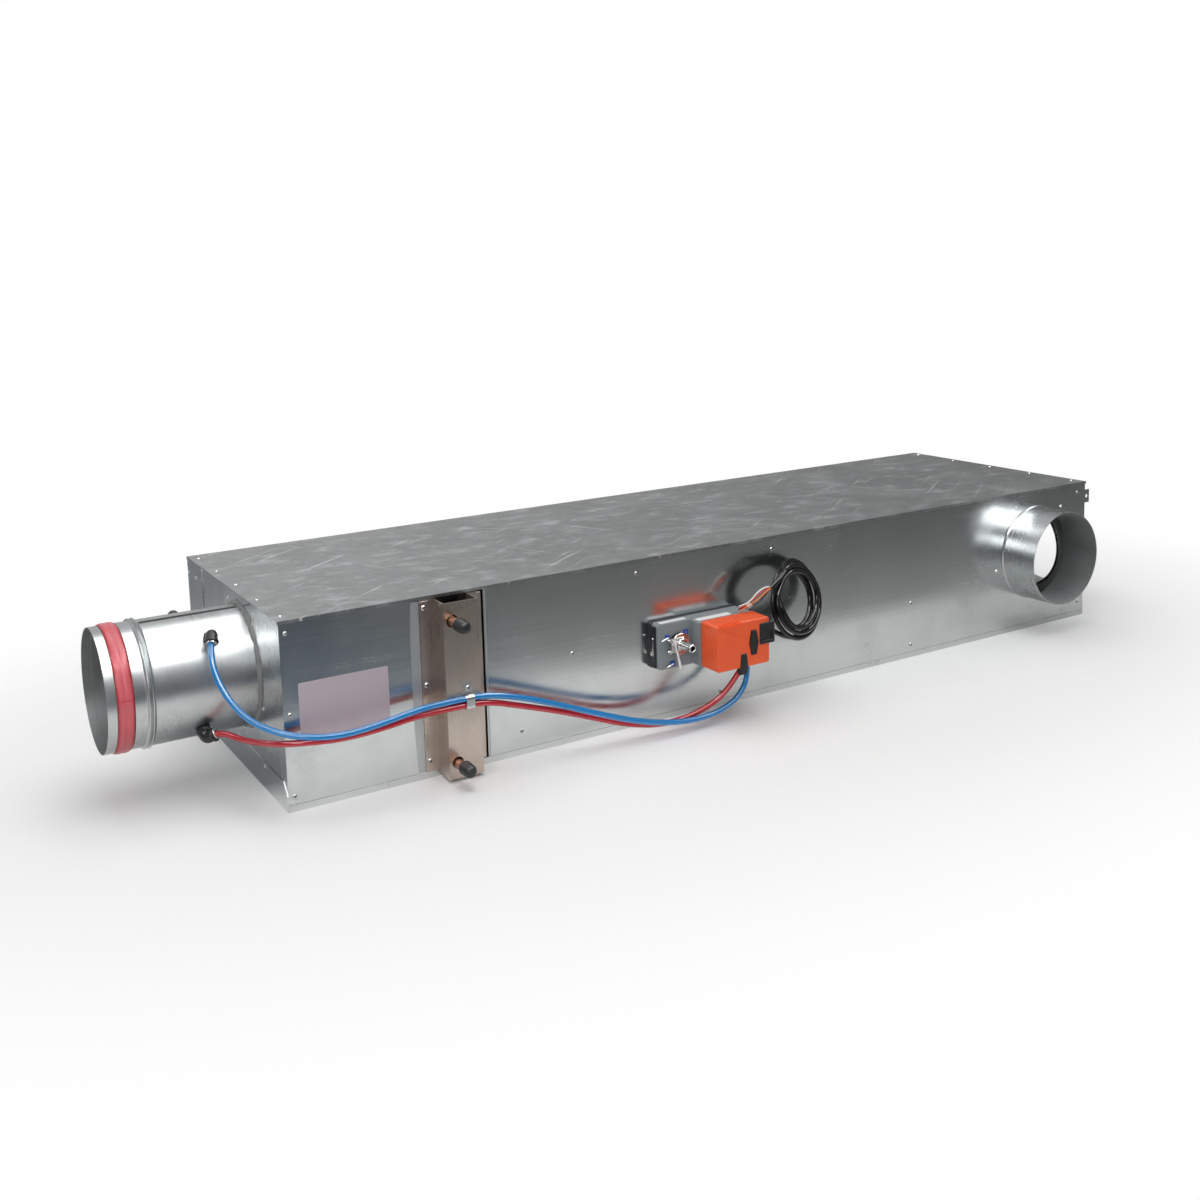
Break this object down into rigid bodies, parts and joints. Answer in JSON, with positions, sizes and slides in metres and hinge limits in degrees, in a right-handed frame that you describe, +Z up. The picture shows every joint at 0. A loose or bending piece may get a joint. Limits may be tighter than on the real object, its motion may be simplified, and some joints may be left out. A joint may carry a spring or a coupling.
{
  "type": "variable air volume induction unit",
  "caption": "Long galvanised ceiling air terminal with round duct spigots, a water heating coil, a shaft-driven damper, nozzles, an actuator with a coiled cable, and pressure hoses.",
  "frame": {"origin": "centre of the inlet spigot's open end", "axes": "+X along the casing from the inlet to the outlet end, +Y into the casing away from the actuator's side, +Z up"},
  "size_m": [1.694, 0.4981, 0.2416],
  "materials": {
    "galvanised": "galvanised",
    "copper": "dull copper",
    "fins": "mill",
    "stainless": "brushed",
    "bright_steel": "zinc plated",
    "black_rubber": "matte",
    "red_rubber": "soft, slightly translucent",
    "sealant": "cured sealant",
    "aluminium": "drawn tube",
    "black_plastic": "moulded",
    "grey_plastic": "moulded",
    "orange_plastic": "moulded",
    "blue_plastic": "moulded",
    "blue_hose": "glossy",
    "red_hose": "glossy",
    "black_cable": "glossy",
    "wire": "coloured insulation",
    "label": "blank film"
  },
  "bodies": {
    "casing": {"bottom_tray": "galvanised", "top_cover": "galvanised", "rear_panel": "galvanised", "front_panel_left": "galvanised", "front_panel_main": "galvanised", "inlet_end_plate": "galvanised", "outlet_end_plate": "galvanised", "inlet_spigot": "galvanised", "inlet_gasket": "red_rubber", "inlet_collar": "sealant", "outlet_spigot_front": "galvanised", "outlet_spigot_end": "galvanised", "measuring_tube_low": "aluminium", "measuring_tube_high": "aluminium", "elbow_low": "black_plastic", "elbow_high": "black_plastic", "tube_plugs": "black_plastic", "coil_fins": "fins", "coil_tubes": "copper", "coil_front_sheet": "galvanised", "coil_rear_sheet": "galvanised", "coil_side_plates": "galvanised", "coil_bracket": "stainless", "pipe_caps": "black_rubber", "hose_clip": "galvanised", "damper_frame": "galvanised", "shaft_bush_front": "black_plastic", "shaft_bush_rear": "black_plastic", "actuator_base": "black_plastic", "actuator_housing": "grey_plastic", "actuator_cover": "orange_plastic", "service_socket": "black_plastic", "port_high": "black_plastic", "port_low": "black_plastic", "cable_gland": "black_rubber", "end_stops": "blue_plastic", "actuator_strap": "bright_steel", "nozzle_plate": "galvanised", "nozzles": "black_plastic", "induction_grille": "galvanised", "air_baffle": "galvanised", "cover_screws": "bright_steel", "bracket_screws": "bright_steel", "panel_screws": "bright_steel", "spigot_rivets": "aluminium", "label_plate": "label", "corner_lug": "galvanised", "hose_low": "blue_hose", "hose_high": "red_hose", "cable_lead": "black_cable", "cable_coil": "black_cable", "cable_wires": "wire"},
    "damper": {"damper_blade": "galvanised", "damper_shaft": "bright_steel", "blade_bolts": "bright_steel", "blade_seals": "black_rubber", "spindle_clamp": "bright_steel", "clamp_bolt": "bright_steel", "position_pointer": "bright_steel"},
    "button": {"release_button": "black_plastic"}
  },
  "joints": [
    {"name": "damper_turn", "type": "hinge", "parent": "casing", "child": "damper", "pos_m": [0.746, 0.05, -0.029], "axis": [0, 1, 0], "range_deg": [0, 90]},
    {"name": "release_press", "type": "slide", "parent": "casing", "child": "button", "axis": [0, 1, 0], "range_m": [0, 0.002], "stiffness_N_per_m": 500}
  ]
}
